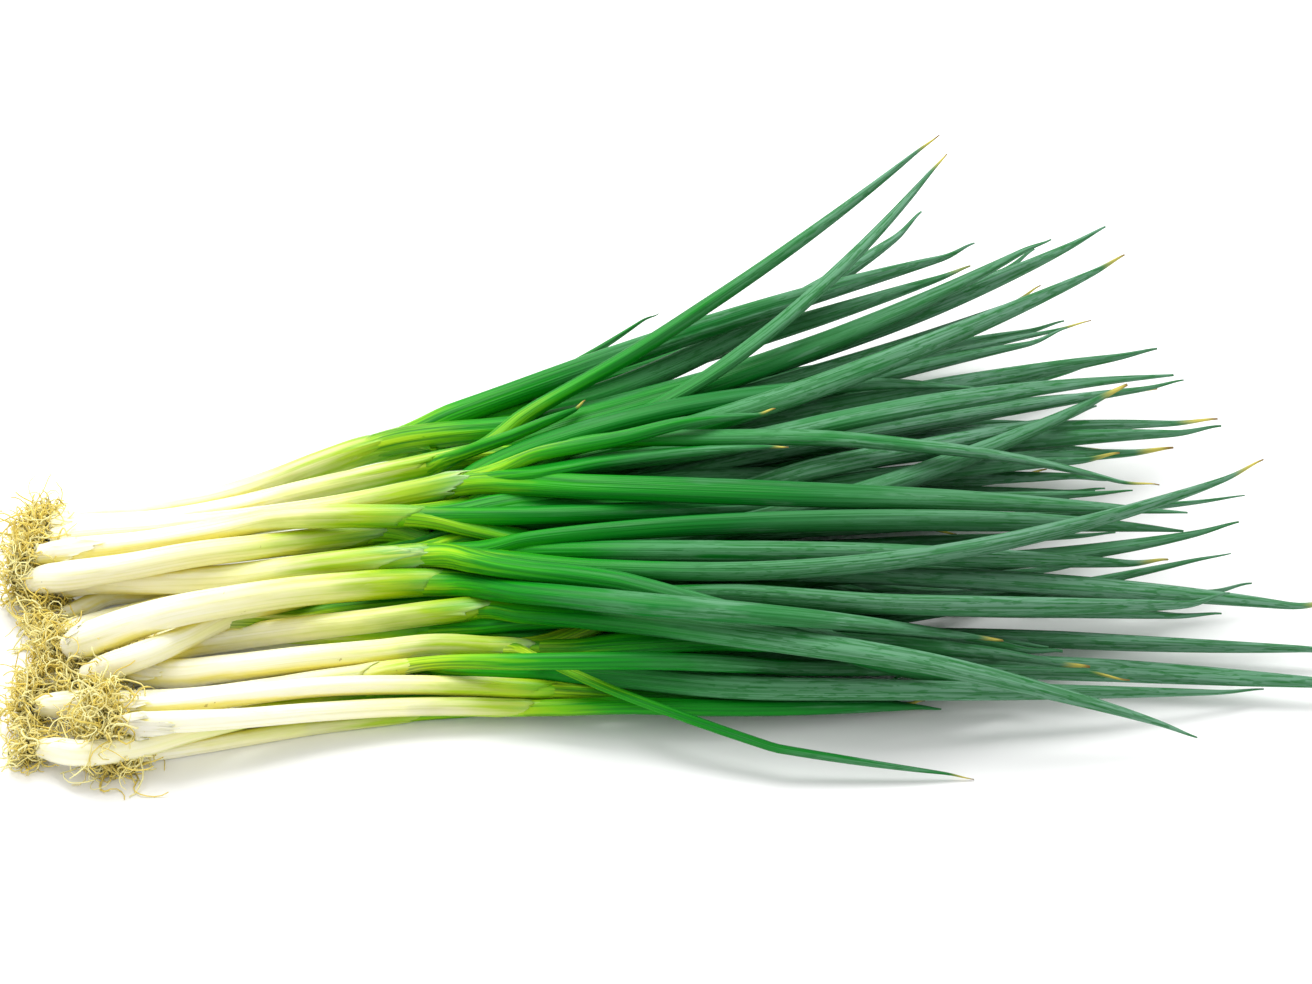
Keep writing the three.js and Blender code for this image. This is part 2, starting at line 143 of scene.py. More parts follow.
def soft_lamp(name, place, aim, width, power):
    """A square area lamp that faces a point."""
    lamp = bpy.data.objects.new(name, bpy.data.lights.new(name, "AREA"))
    lamp.data.size = width
    lamp.data.energy = power
    lamp.location = place
    lamp.rotation_euler = (Vector(aim) - Vector(place)).to_track_quat("-Z", "Y").to_euler()
    bpy.context.scene.collection.objects.link(lamp)
    return lamp


soft_lamp("key_lamp", KEY_PLACE, KEY_AIM, KEY_WIDTH, KEY_POWER)
bpy.context.scene.view_settings.view_transform = "Standard"
print("lamps:", sum(thing.type == "LIGHT" for thing in bpy.data.objects))

# %% [markdown]
# ## Reading a plant back from its solids
# The measured solids have few sides, but they say where each shaft and each leaf runs and how
# thick it is. Every solid is a stack of rings, so stepping from its end to the neighbours, again
# and again, walks it ring by ring.

# %% Walk a stack of rings
SEW = 1e-6
SAME_WAY = 0.9999
FEWEST_CORNERS = 3


def solid_copy(node):
    """A working copy of a node's mesh, with its loose triangles sewn together."""
    copy = bmesh.new()
    copy.from_mesh(frame["nodes"][node].data)
    bmesh.ops.remove_doubles(copy, verts=copy.verts, dist=SEW)
    return copy


def step_out(ring, seen):
    """The vertices next to a ring that weren't seen before, in a fixed order."""
    near = {edge.other_vert(vert) for vert in ring for edge in vert.link_edges} - seen
    seen.update(near)
    return sorted(near, key=lambda vert: vert.index)


def ring_row(ring):
    """A ring's middle and its radius."""
    middle = sum((vert.co for vert in ring), Vector()) / len(ring)
    return (*middle, max((vert.co - middle).length for vert in ring))


def is_inside_flat(vert):
    """Whether a vertex is the middle of a flat end, and not on its rim."""
    first = vert.link_faces[0].normal
    return all(face.normal.dot(first) > SAME_WAY for face in vert.link_faces)


def walk_rings(node):
    """Rows of x, y, z and radius, one for each ring of a solid, from its root end on."""
    solid = solid_copy(node)
    ring = [min(filter(is_inside_flat, solid.verts), key=lambda vert: vert.co.x)]
    seen = set(ring)
    rows = []
    while ring:
        ring = step_out(ring, seen)
        if len(ring) >= FEWEST_CORNERS:
            rows.append(ring_row(ring))
    solid.free()
    return np.array(rows)


shaft_runs = {plant: walk_rings(f"onion_{plant}_stem") for plant in PLANTS}
print("rings in each shaft:", sorted({len(run) for run in shaft_runs.values()}))

# %% [markdown]
# The leaves of one plant are one solid, joined near the neck. Each is walked from its own tip
# back, and the walk stops where a ring is no longer six corners: there the leaf meets the others.

# %% Walk each leaf from its tip
TIP_CLEAR = 30 * MM
TIP_WIDTH = 1.1 * MM
LEAF_CORNERS = 6


def find_tips(solid, neck):
    """The corners that stand further out than all that is next to them."""
    tips = []
    for vert in sorted(solid.verts, key=lambda vert: -vert.co.x):
        outer = all(edge.other_vert(vert).co.x < vert.co.x for edge in vert.link_edges)
        lone = all((vert.co - tip.co).length > TIP_WIDTH for tip in tips)
        if outer and lone and (vert.co - neck).length > TIP_CLEAR:
            tips.append(vert)
    return tips


def read_leaves(plant):
    """Rows of x, y, z and radius for each leaf, from where it is free of the others to its tip."""
    solid = solid_copy(f"onion_{plant}_leaves")
    leaves = []
    for tip in find_tips(solid, Vector(shaft_runs[plant][-1][:3])):
        ring = [vert for vert in solid.verts if (vert.co - tip.co).length < TIP_WIDTH]
        seen = set(ring)
        rows = []
        while len(ring) == LEAF_CORNERS:
            rows.append(ring_row(ring))
            ring = step_out(ring, seen)
        leaves.append(np.array(rows[::-1]))
    solid.free()
    return leaves


free_leaves = {plant: read_leaves(plant) for plant in PLANTS}
ring_counts = [len(leaf) for leaves in free_leaves.values() for leaf in leaves]
print("leaves:", len(ring_counts), "fewest rings in a free leaf:", min(ring_counts))

# %% [markdown]
# ## Runs
# A run is a row of places with a radius at each. A cubic curve through the measured rings turns
# the straight stretches of the solids into the easy bends of a living stalk.

# %% Bend a run smoothly through its rows
RUN_STEP = 1.5 * MM


def distances(run):
    """How far along a run each of its rows is."""
    steps = np.linalg.norm(np.diff(run[:, :3], axis=0), axis=1)
    return np.concatenate([[0], np.cumsum(steps)])


def take(run, at):
    """The rows of a run at these distances along it."""
    known = distances(run)
    return np.stack([np.interp(at, known, column) for column in run.T], axis=1)


def curve_through(rows):
    """An even run on a cubic curve that passes through every row."""
    known = distances(rows)
    slopes = np.gradient(rows, known, axis=0)
    at = np.append(np.arange(0, known[-1], RUN_STEP), known[-1])
    low = np.clip(np.searchsorted(known, at, side="right") - 1, 0, len(known) - 2)
    span = (known[low + 1] - known[low])[:, None]
    share = (at - known[low])[:, None] / span
    rise = share * share * (3 - 2 * share)
    lead = slopes[low] * share * (1 - share) ** 2 * span
    trail = slopes[low + 1] * share ** 2 * (1 - share) * span
    return rows[low] * (1 - rise) + rows[low + 1] * rise + lead - trail


def facing_along(run):
    """The direction at each row, and the level side and the lift that stand square on it."""
    ahead = np.gradient(run[:, :3], axis=0)
    ahead /= np.linalg.norm(ahead, axis=1, keepdims=True)
    side = np.cross(ahead, np.array(UP))
    side /= np.linalg.norm(side, axis=1, keepdims=True)
    return ahead, side, np.cross(side, ahead)


def smooth_step(value):
    """An easy rise from 0 to 1."""
    value = np.clip(value, 0.0, 1.0)
    return value * value * (3 - 2 * value)


print("rows on the first shaft's run:", len(curve_through(shaft_runs[PLANTS[0]])))

# %% [markdown]
# ## One straight tube to bend
# Shafts, leaves and root fibres are all closed tubes. Skinning a curve would make them too, but
# a straight tube of unit size, cut into rings with Subdivide Edges and then moved ring by ring
# onto its run, keeps full control of the section, and one template serves every leaf.

# %% Make tube templates
def tube_template(name, sides, rings):
    """A closed tube of radius 1 from z = 0 to z = 1, with evenly spaced rings."""
    tube = bmesh.new()
    bmesh.ops.create_cone(
        tube, cap_ends=True, segments=sides, radius1=1, radius2=1, depth=1,
        matrix=Matrix.Translation((0, 0, 0.5)),
    )
    upright = [edge for edge in tube.edges if abs(edge.verts[0].co.z - edge.verts[1].co.z) > 0.5]
    bmesh.ops.subdivide_edges(tube, edges=upright, cuts=rings - 2, use_grid_fill=True)
    mesh = bpy.data.meshes.new(name)
    tube.to_mesh(mesh)
    tube.free()
    return mesh


SHAFT_SIDES, SHAFT_RINGS = 28, 84
LEAF_SIDES, LEAF_RINGS = 20, 90
ROOT_SIDES, ROOT_RINGS = 3, 14
shaft_template = tube_template("shaft_template", SHAFT_SIDES, SHAFT_RINGS)
leaf_template = tube_template("leaf_template", LEAF_SIDES, LEAF_RINGS)
root_template = tube_template("root_template", ROOT_SIDES, ROOT_RINGS)
print("faces: shaft", len(shaft_template.polygons), "leaf", len(leaf_template.polygons),
      "root", len(root_template.polygons))

# %% [markdown]
# Each vertex also carries two notes for the materials. "grain" is its place on the tube before it
# is bent, so that veins run along a bent leaf. "along" holds three numbers: the distance past the
# neck, a share, and a number that each leaf has of its own. On a leaf the share is its share of the
# way to the tip, on a loose skin how papery it is, and on a root how much soil and painted shade it
# gets.

# %% Bend a tube onto a run
def start_piece():
    """An empty bmesh that has room for both notes."""
    piece = bmesh.new()
    piece.verts.layers.float_vector.new("grain")
    piece.verts.layers.float_vector.new("along")
    return piece


def add_tube(piece, template, run, section, notes, shift=0.0):
    """Adds a template to a piece, bent onto a run with one row for each of its rings."""
    rings = len(run)
    _, side, lift = facing_along(run)
    travelled = distances(run)
    first = len(piece.verts)
    piece.from_mesh(template)
    piece.verts.ensure_lookup_table()
    grain = piece.verts.layers.float_vector["grain"]
    along = piece.verts.layers.float_vector["along"]
    for index in range(first, len(piece.verts)):
        vert = piece.verts[index]
        ring = round(vert.co.z * (rings - 1))
        angle = math.atan2(vert.co.y, vert.co.x)
        across, high = section(ring, angle)
        radius = run[ring][3]
        place = run[ring][:3] + side[ring] * across + lift[ring] * high
        vert[grain] = (
            radius * math.cos(angle) + shift, radius * math.sin(angle), travelled[ring] + shift
        )
        vert[along] = notes(ring)
        vert.co = (place[0], place[1], max(place[2], 0.0))


def finish_piece(name, piece, material, nodes):
    """Turns a bmesh into a smooth piece that stands for its measured nodes."""
    bmesh.ops.recalc_face_normals(piece, faces=piece.faces)
    for face in piece.faces:
        face.smooth = True
    thing = bpy.data.objects.new(name, bpy.data.meshes.new(name))
    piece.to_mesh(thing.data)
    piece.free()
    thing.data.materials.append(material)
    bpy.context.scene.collection.objects.link(thing)
    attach(thing, "root")
    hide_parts(*nodes)
    return thing


print("notes on every vertex: grain, along")

# %% [markdown]
# ## Materials
# The skin of a spring onion is streaked along its length: fine parallel veins everywhere, and on
# the green part a dull grey-green wax that is rubbed off in long flecks. All of that comes from
# noise that is stretched along the leaf, in one node group that the skin materials share.

# %% Build the lengthwise grain group
def add_node(tree, kind, **values):
    """A node with its settings."""
    node = tree.nodes.new(kind)
    for name, value in values.items():
        setattr(node, name, value)
    return node


def stretched_noise(tree, vector, fineness, detail):
    """Noise with this many features to the metre across, across and along."""
    scale = add_node(tree, "ShaderNodeVectorMath", operation="MULTIPLY")
    scale.inputs[1].default_value = fineness
    tree.links.new(vector, scale.inputs[0])
    pattern = add_node(tree, "ShaderNodeTexNoise")
    pattern.inputs["Scale"].default_value = 1
    pattern.inputs["Detail"].default_value = detail
    tree.links.new(scale.outputs[0], pattern.inputs["Vector"])
    return pattern.outputs["Fac"]


def map_range(tree, value, low, high, to_low=0.0, to_high=1.0, kind="SMOOTHSTEP"):
    """A value's rise from low to high, turned into one from to_low to to_high."""
    node = add_node(tree, "ShaderNodeMapRange", interpolation_type=kind)
    node.inputs["From Min"].default_value = low
    node.inputs["From Max"].default_value = high
    node.inputs["To Min"].default_value = to_low
    node.inputs["To Max"].default_value = to_high
    tree.links.new(value, node.inputs["Value"])
    return node.outputs["Result"]


# For each pattern: its features to the metre, across, across and along, and its detail.
GRAIN = {
    "Veins": ((1300, 1300, 9), 3),
    "Streaks": ((520, 520, 13), 3),
    "Patches": ((220, 220, 45), 3),
    "Flecks": ((1100, 1100, 150), 4),
    "Mottle": ((260, 260, 260), 3),
}
grain_group = bpy.data.node_groups.new("lengthwise_grain", "ShaderNodeTree")
grain_place = add_node(grain_group, "ShaderNodeAttribute", attribute_name="grain")
grain_out = add_node(grain_group, "NodeGroupOutput")
for output, (fineness, detail) in GRAIN.items():
    grain_group.interface.new_socket(output, in_out="OUTPUT", socket_type="NodeSocketFloat")
    pattern = stretched_noise(grain_group, grain_place.outputs["Vector"], fineness, detail)
    grain_group.links.new(pattern, grain_out.inputs[output])
print("grain outputs:", list(GRAIN))

# %% [markdown]
# Every skin colour is built up in small steps: a ramp, a mix, a sum or a product. A short function
# for each makes the materials below read like a recipe.

# %% Name the small steps of a colour
MIX_AMOUNT, MIX_FIRST, MIX_SECOND, MIX_RESULT = 0, 6, 7, 2


def ramp(tree, value, stops):
    """A colour ramp with these places and colours."""
    node = add_node(tree, "ShaderNodeValToRGB")
    band = node.color_ramp
    while len(band.elements) < len(stops):
        band.elements.new(0.5)
    for element, (place, colour) in zip(band.elements, stops):
        element.position = place
        element.color = (*colour, 1)
    tree.links.new(value, node.inputs["Fac"])
    return node.outputs["Color"]


def plug(tree, socket, value):
    """Links a socket into another one, or sets it to a plain number or colour."""
    if isinstance(value, bpy.types.NodeSocket):
        tree.links.new(value, socket)
    elif isinstance(value, tuple):
        socket.default_value = (*value, 1)
    else:
        socket.default_value = value


def mix(tree, amount, first, second, blend="MIX"):
    """The first colour, with this much of the second one over it."""
    node = add_node(tree, "ShaderNodeMix", data_type="RGBA", blend_type=blend)
    for index, value in ((MIX_AMOUNT, amount), (MIX_FIRST, first), (MIX_SECOND, second)):
        plug(tree, node.inputs[index], value)
    return node.outputs[MIX_RESULT]


def maths(tree, operation, first, second=0.0):
    """One sum on two values."""
    node = add_node(tree, "ShaderNodeMath", operation=operation)
    plug(tree, node.inputs[0], first)
    plug(tree, node.inputs[1], second)
    return node.outputs[0]


def swing(tree, pattern, size):
    """A pattern about one half, turned into a swing of this size about nothing."""
    return maths(tree, "MULTIPLY", maths(tree, "SUBTRACT", pattern, 0.5), size)


print("steps of a colour:", [step.__name__ for step in (ramp, mix, maths, swing)])

# %% [markdown]
# One law colours the whole plant by the distance past the neck: white at the bulb, cream and
# yellow-green on the shaft, a strong green just past the neck and a bluer green further out.
# Streaks pull that law a little back and forth, so that the colours run into one another in long
# tongues. It is a group too, because the shaft and its leaves have to match where they meet.

# %% Build the plant colour group
WHITE = (0.97, 0.94, 0.75)
CREAM = (0.91, 0.88, 0.52)
PALE_LIME = (0.77, 0.81, 0.30)
LIME = (0.44, 0.65, 0.016)
BRIGHT = (0.17, 0.50, 0.005)
GRASS = (0.022, 0.34, 0.003)
GREEN = (0.003, 0.25, 0.006)
DEEP = (0.004, 0.165, 0.022)
COLOUR_FROM, COLOUR_TO = -0.13, 0.15
STREAK_PULL, PATCH_PULL = 0.066, 0.034
COLOUR_STOPS = [
    (-0.130, WHITE), (-0.085, WHITE), (-0.056, CREAM), (-0.034, PALE_LIME), (-0.012, LIME),
    (0.008, BRIGHT), (0.027, GRASS), (0.052, GREEN), (0.115, DEEP),
]

colour_group = bpy.data.node_groups.new("plant_colour", "ShaderNodeTree")
for output, kind in (("Colour", "Color"), ("Neck", "Float"), ("Tip", "Float"), ("Own", "Float")):
    colour_group.interface.new_socket(output, in_out="OUTPUT", socket_type=f"NodeSocket{kind}")
colour_out = add_node(colour_group, "NodeGroupOutput")
grain_use = add_node(colour_group, "ShaderNodeGroup", node_tree=grain_group)
along_note = add_node(colour_group, "ShaderNodeAttribute", attribute_name="along")
parts = add_node(colour_group, "ShaderNodeSeparateXYZ")
colour_group.links.new(along_note.outputs["Vector"], parts.inputs[0])
pull = maths(
    colour_group, "ADD", swing(colour_group, grain_use.outputs["Streaks"], STREAK_PULL),
    swing(colour_group, grain_use.outputs["Patches"], PATCH_PULL),
)
streaked = maths(colour_group, "ADD", parts.outputs["X"], pull)
law = ramp(
    colour_group, map_range(colour_group, streaked, COLOUR_FROM, COLOUR_TO, kind="LINEAR"),
    [((place - COLOUR_FROM) / (COLOUR_TO - COLOUR_FROM), colour) for place, colour in COLOUR_STOPS],
)
for output, value in (
    ("Colour", law), ("Neck", streaked), ("Tip", parts.outputs["Y"]), ("Own", parts.outputs["Z"])
):
    colour_group.links.new(value, colour_out.inputs[output])
print("colours from bulb to tip:", len(COLOUR_STOPS))

# %% [markdown]
# Shaft, leaf and root materials all begin with the same two groups, and two of them end in fine
# ridges. A Bump node makes the ridges, because they are far finer than the mesh.

# %% Start a skin material
def skin_nodes(material):
    """A material's nodes, with the outputs of the grain group and of the plant colour group."""
    tree = material.node_tree
    grain = add_node(tree, "ShaderNodeGroup", node_tree=grain_group)
    law = add_node(tree, "ShaderNodeGroup", node_tree=colour_group)
    return tree, grain.outputs, law.outputs


def add_bump(tree, shader, height, depth):
    """Turns a pattern into fine ridges of this depth."""
    bump = add_node(tree, "ShaderNodeBump")
    bump.inputs["Strength"].default_value = 1
    bump.inputs["Distance"].default_value = depth
    tree.links.new(height, bump.inputs["Height"])
    tree.links.new(bump.outputs["Normal"], shader.inputs["Normal"])


print("shared groups:", [group.name for group in bpy.data.node_groups])

# %% [markdown]
# The skin of the shaft is wet-looking and lets light a little way in, so it gets subsurface
# scattering. Its veins are darker and yellower than the flesh between them, a golden painted shade
# darkens it where another skin is close, standing in for light that comes through the flesh into
# the crease, and a few small brown specks stay where it lay in the soil.

# %% Shaft material
VEIN_SHADE = (0.72, 0.72, 0.24)
PAINTED_CREASE_SHADE = (0.92, 0.85, 0.22)
SPECK_BROWN = (0.30, 0.20, 0.07)
PAPER = (0.93, 0.92, 0.70)
SHAFT_ROUGHNESS = 0.36
SHAFT_GLOSS = 0.28
SHAFT_GLOW = 0.2
SHAFT_GLOW_COLOUR = (1.0, 0.9, 0.3)
SHAFT_GLOW_DEPTH = 3 * MM
SHAFT_RIDGES = 0.16 * MM

shaft_skin, shaft_shader = new_material("onion_shaft", WHITE, SHAFT_ROUGHNESS)
tree, grain, law = skin_nodes(shaft_skin)
close = add_node(tree, "ShaderNodeAttribute", attribute_name="closeness").outputs["Fac"]
# Painted shade: where another skin is close, the colour is darkened and tinted gold, as if lit
# through the flesh.
crease_painted_shade = mix(
    tree, map_range(tree, close, 0.25, 0.85, 0.0, 0.80), law["Colour"],
    mix(tree, 1.0, law["Colour"], PAINTED_CREASE_SHADE, blend="MULTIPLY"),
)
veins = map_range(tree, grain["Veins"], 0.50, 0.68, 0.0, 0.32)
veined = mix(tree, veins, crease_painted_shade, VEIN_SHADE, blend="MULTIPLY")
clouds = map_range(tree, grain["Patches"], 0.50, 0.72, 0.0, 0.20)
clouded = mix(tree, clouds, veined, VEIN_SHADE, blend="MULTIPLY")
papery = mix(tree, law["Tip"], clouded, PAPER)
specked = mix(tree, map_range(tree, grain["Mottle"], 0.735, 0.76, 0.0, 0.6), papery, SPECK_BROWN)
tree.links.new(specked, shaft_shader.inputs["Base Color"])
shaft_shader.inputs["Specular IOR Level"].default_value = SHAFT_GLOSS
shaft_shader.inputs["Subsurface Weight"].default_value = SHAFT_GLOW
shaft_shader.inputs["Subsurface Radius"].default_value = SHAFT_GLOW_COLOUR
shaft_shader.inputs["Subsurface Scale"].default_value = SHAFT_GLOW_DEPTH
add_bump(tree, shaft_shader, maths(tree, "ADD", grain["Veins"], grain["Streaks"]), SHAFT_RIDGES)
print("shaft material:", len(tree.nodes), "nodes")

# %% [markdown]
# A few centimetres past the neck the leaves are veiled by grey-green wax, more on some leaves
# than on others. The wax is rubbed off in streaks and flecks, which show the strong green below
# it. One noise rubs it off in patches and another in flecks, because on the real leaf both show.

# %% Leaf wax
WAX = (0.088, 0.290, 0.125)
BLUE_WAX = (0.135, 0.290, 0.190)
RUBBED = (0.002, 0.125, 0.010)
LEAF_ROUGHNESS = 0.55
OWN_WAX = 0.26
WAX_COVER = 0.95

leaf_skin, leaf_shader = new_material("onion_leaves", GREEN, LEAF_ROUGHNESS)
tree, grain, law = skin_nodes(leaf_skin)
bloom = mix(tree, map_range(tree, law["Neck"], 0.07, 0.21), WAX, BLUE_WAX)
worn = maths(
    tree, "ADD", maths(tree, "MULTIPLY", grain["Patches"], 0.5),
    maths(tree, "MULTIPLY", grain["Streaks"], 0.5),
)
kept = map_range(tree, maths(tree, "ADD", worn, swing(tree, law["Own"], OWN_WAX)), 0.42, 0.55)
thick = maths(tree, "MAXIMUM", kept, map_range(tree, law["Neck"], 0.09, 0.20, 0.0, 0.72))
wax = maths(tree, "MULTIPLY", thick, map_range(tree, law["Neck"], 0.050, 0.125))
waxed = mix(tree, maths(tree, "MULTIPLY", wax, WAX_COVER), law["Colour"], bloom)
flecks = map_range(tree, grain["Flecks"], 0.54, 0.59, 0.0, 0.55)
flecked = mix(tree, maths(tree, "MULTIPLY", flecks, wax), waxed, RUBBED)
print("wax from", WAX, "near the neck to", BLUE_WAX, "near the tip")

# %% [markdown]
# Dark veins and streaks lie over the wax. Which tips have dried is drawn from each leaf's own
# number, and the wax, being dull, also sets the roughness.

# %% Leaf veins, dry tips and gloss
DRY_TIP = (0.58, 0.50, 0.10)
DRY_BROWN = (0.26, 0.16, 0.05)
TIP_LOTTERY = 7.3
TIP_RAGGED = 0.03
STREAK_RIDGES = 1.5
LEAF_GLOSS = 0.15
LEAF_RIDGES = 0.32 * MM

veined = mix(tree, map_range(tree, grain["Veins"], 0.47, 0.60, 0.0, 0.55), flecked, RUBBED)
streaked = mix(tree, map_range(tree, grain["Streaks"], 0.50, 0.60, 0.0, 0.30), veined, RUBBED)
lottery = maths(tree, "FRACT", maths(tree, "MULTIPLY", law["Own"], TIP_LOTTERY))
chosen = map_range(tree, lottery, 0.6, 0.65)
tip = maths(tree, "ADD", law["Tip"], swing(tree, grain["Streaks"], TIP_RAGGED))
dry = maths(tree, "MULTIPLY", map_range(tree, tip, 0.955, 0.985), chosen)
dried = mix(tree, dry, streaked, DRY_TIP)
brown = maths(tree, "MULTIPLY", map_range(tree, tip, 0.986, 0.999), chosen)
browned = mix(tree, brown, dried, DRY_BROWN)
tree.links.new(browned, leaf_shader.inputs["Base Color"])
tree.links.new(map_range(tree, wax, 0, 1, 0.42, 0.72), leaf_shader.inputs["Roughness"])
leaf_shader.inputs["Specular IOR Level"].default_value = LEAF_GLOSS
ribs = maths(tree, "ADD", grain["Veins"], maths(tree, "MULTIPLY", grain["Streaks"], STREAK_RIDGES))
add_bump(tree, leaf_shader, ribs, LEAF_RIDGES)
print("leaf material:", len(tree.nodes), "nodes")

# %% [markdown]
# Root fibres are dull straw, some paler than others. The thick of the tuft is painted nearly black,
# partly for the soil left there and partly as painted shade. The share in the "along" note says how
# much of that soil and shade a fibre gets.

# %% Root material
STRAW = (0.86, 0.68, 0.14)
PALE_STRAW = (1.0, 0.93, 0.44)
SOIL_AND_PAINTED_SHADE = (0.040, 0.035, 0.010)
ROOT_ROUGHNESS = 0.75

root_skin, root_shader = new_material("onion_roots", STRAW, ROOT_ROUGHNESS)
tree, grain, law = skin_nodes(root_skin)
base = mix(tree, map_range(tree, law["Own"], 0.2, 0.8), STRAW, PALE_STRAW)
# Soil and painted shade: fibres are darkened near the plate, in the thick of the tuft.
soil_and_shade = maths(tree, "MULTIPLY", law["Tip"], map_range(tree, grain["Mottle"], 0.30, 0.47))
tree.links.new(mix(tree, soil_and_shade, base, SOIL_AND_PAINTED_SHADE), root_shader.inputs["Base Color"])
print("root material:", len(tree.nodes), "nodes")

# %% [markdown]
# ## The neck
# At the neck the leaves are still rolled round one another, as one tube with the shaft. One after
# another they leave that bundle over a few centimetres. So the shaft is carried on past the neck,
# thinning, along the middle of its leaves, and every leaf starts deep inside it with its section.

# %% Find each plant's neck
ROOTED = 22 * MM
HEADING = 14 * MM
HEADING_SHARE = 0.55
HEADING_CLEAR = 36 * MM
BUNDLE = 120 * MM


def leaf_run(plant, free):
    """A leaf's own run, from inside the shaft to its tip."""
    neck = shaft_runs[plant][-1]
    ahead = (neck - shaft_runs[plant][-2])[:3]
    ahead /= np.linalg.norm(ahead)
    away = (free[0] - neck)[:3]
    away /= np.linalg.norm(away)
    rows = [np.append(neck[:3] - ahead * ROOTED, neck[3]), neck]
    if np.linalg.norm((free[0] - neck)[:3]) > HEADING_CLEAR:
        lean = ahead * HEADING_SHARE + away * (1 - HEADING_SHARE)
        rows.append(np.append(neck[:3] + lean * HEADING, neck[3]))
    return curve_through(np.vstack([*rows, free]))


leaf_runs = {plant: [leaf_run(plant, free) for free in free_leaves[plant]] for plant in PLANTS}
bundle_at = np.arange(0, BUNDLE, RUN_STEP)
neck_axes = {
    plant: np.mean([take(run, bundle_at) for run in runs], axis=0)
    for plant, runs in leaf_runs.items()
}
longest = max(distances(run)[-1] for runs in leaf_runs.values() for run in runs)
print("longest leaf:", round(longest, 3), "m")

# %% [markdown]
# ## Shafts
# The shaft is the tube of sheaths. It starts as a rounded bulb on the basal plate, is thickest a
# few millimetres on, stays even up to the neck and thins out between the leaves.

# %% Shape the run of a shaft
DOME = 5.0 * MM
DOME_POWER = 2.4
DOME_START = 0.25 * MM
FOOT = 1.5 * MM
SHEATH_PAST = 34 * MM
SHEATH_END = 0.35
RING_BUNCHING = 1.25
STOUT = {"11": 1.10, "12": 1.25, "13": 1.22}


def shaft_run(plant):
    """The smooth run of a shaft: a rounded foot, the measured rings, and on between the leaves."""
    rings = shaft_runs[plant]
    back = (rings[0] - rings[1]) / np.linalg.norm((rings[0] - rings[1])[:3])
    foot = rings[0].copy()
    foot[:3] += back[:3] * FOOT
    run = curve_through(np.vstack([foot, rings]))
    neck_at = distances(run)[-1]
    past = take(neck_axes[plant], ROOTED + np.arange(RUN_STEP, SHEATH_PAST, RUN_STEP))
    gone = np.linspace(0, 1, len(past))
    past[:, 3] = rings[-1][3] * (1 - (1 - SHEATH_END) * smooth_step(gone))
    run = np.vstack([run, past])
    share = np.linspace(0, 1, SHAFT_RINGS)
    run = take(run, distances(run)[-1] * share ** RING_BUNCHING)
    gone = np.minimum(distances(run) / DOME, 1)
    belly = np.interp(DOME, distances(run), run[:, 3])
    dome = belly * (1 - (1 - gone) ** DOME_POWER) ** (1 / DOME_POWER)
    run[:, 3] = np.where(gone < 1, np.maximum(dome, DOME_START), run[:, 3])
    run[:, 3] *= STOUT.get(plant, 1)
    return run, neck_at


print("first shaft's neck:", round(shaft_run(PLANTS[0])[1], 4), "m from its foot")

# %% [markdown]
# The outermost sheaths don't fit closely. Each shaft ends in a slanting, torn mouth that the leaves
# come out of, and some skins have come loose at the neck or have dried to paper at the foot. A
# sheet could be shrinkwrapped onto the shaft, but a grid that is rolled onto the shaft's own run is
# easier to aim, and Solidify gives it a real thickness, so that its rim catches the light.

# %% Roll a loose skin onto a shaft
# Where it starts and ends along the shaft, the angles it is turned and wrapped by, how far its rim
# leans on and is torn, how far the rim stands off, and the share of it that is dry as paper.
Skin = namedtuple("Skin", "starts ends turned wrap lean tear flare paper")
SKIN_COLUMNS, SKIN_ROWS = 30, 18
SKIN_THICK = 0.10 * MM
SKIN_SUNK = 0.5 * MM
SKIN_LIFT = 0.10 * MM
PLUMP = 1.04
WIDE_TEARS, NARROW_TEARS, FLARE_WAVES = 3, 9, 4
NARROW_SHARE = 0.6
SKIN_PATTERN = 7
CORNERS_BOUND = 1e6


def uneven(angle, waves, shift, layer):
    """Smooth noise round a skin, with its own pattern for each shift and layer."""
    return noise.noise(Vector((angle * waves, shift * SKIN_PATTERN, layer)))


def face_order(face):
    """A number that puts a face by its lowest corner, and next by its highest."""
    corners = [vert.index for vert in face.verts]
    return min(corners) * CORNERS_BOUND + max(corners)


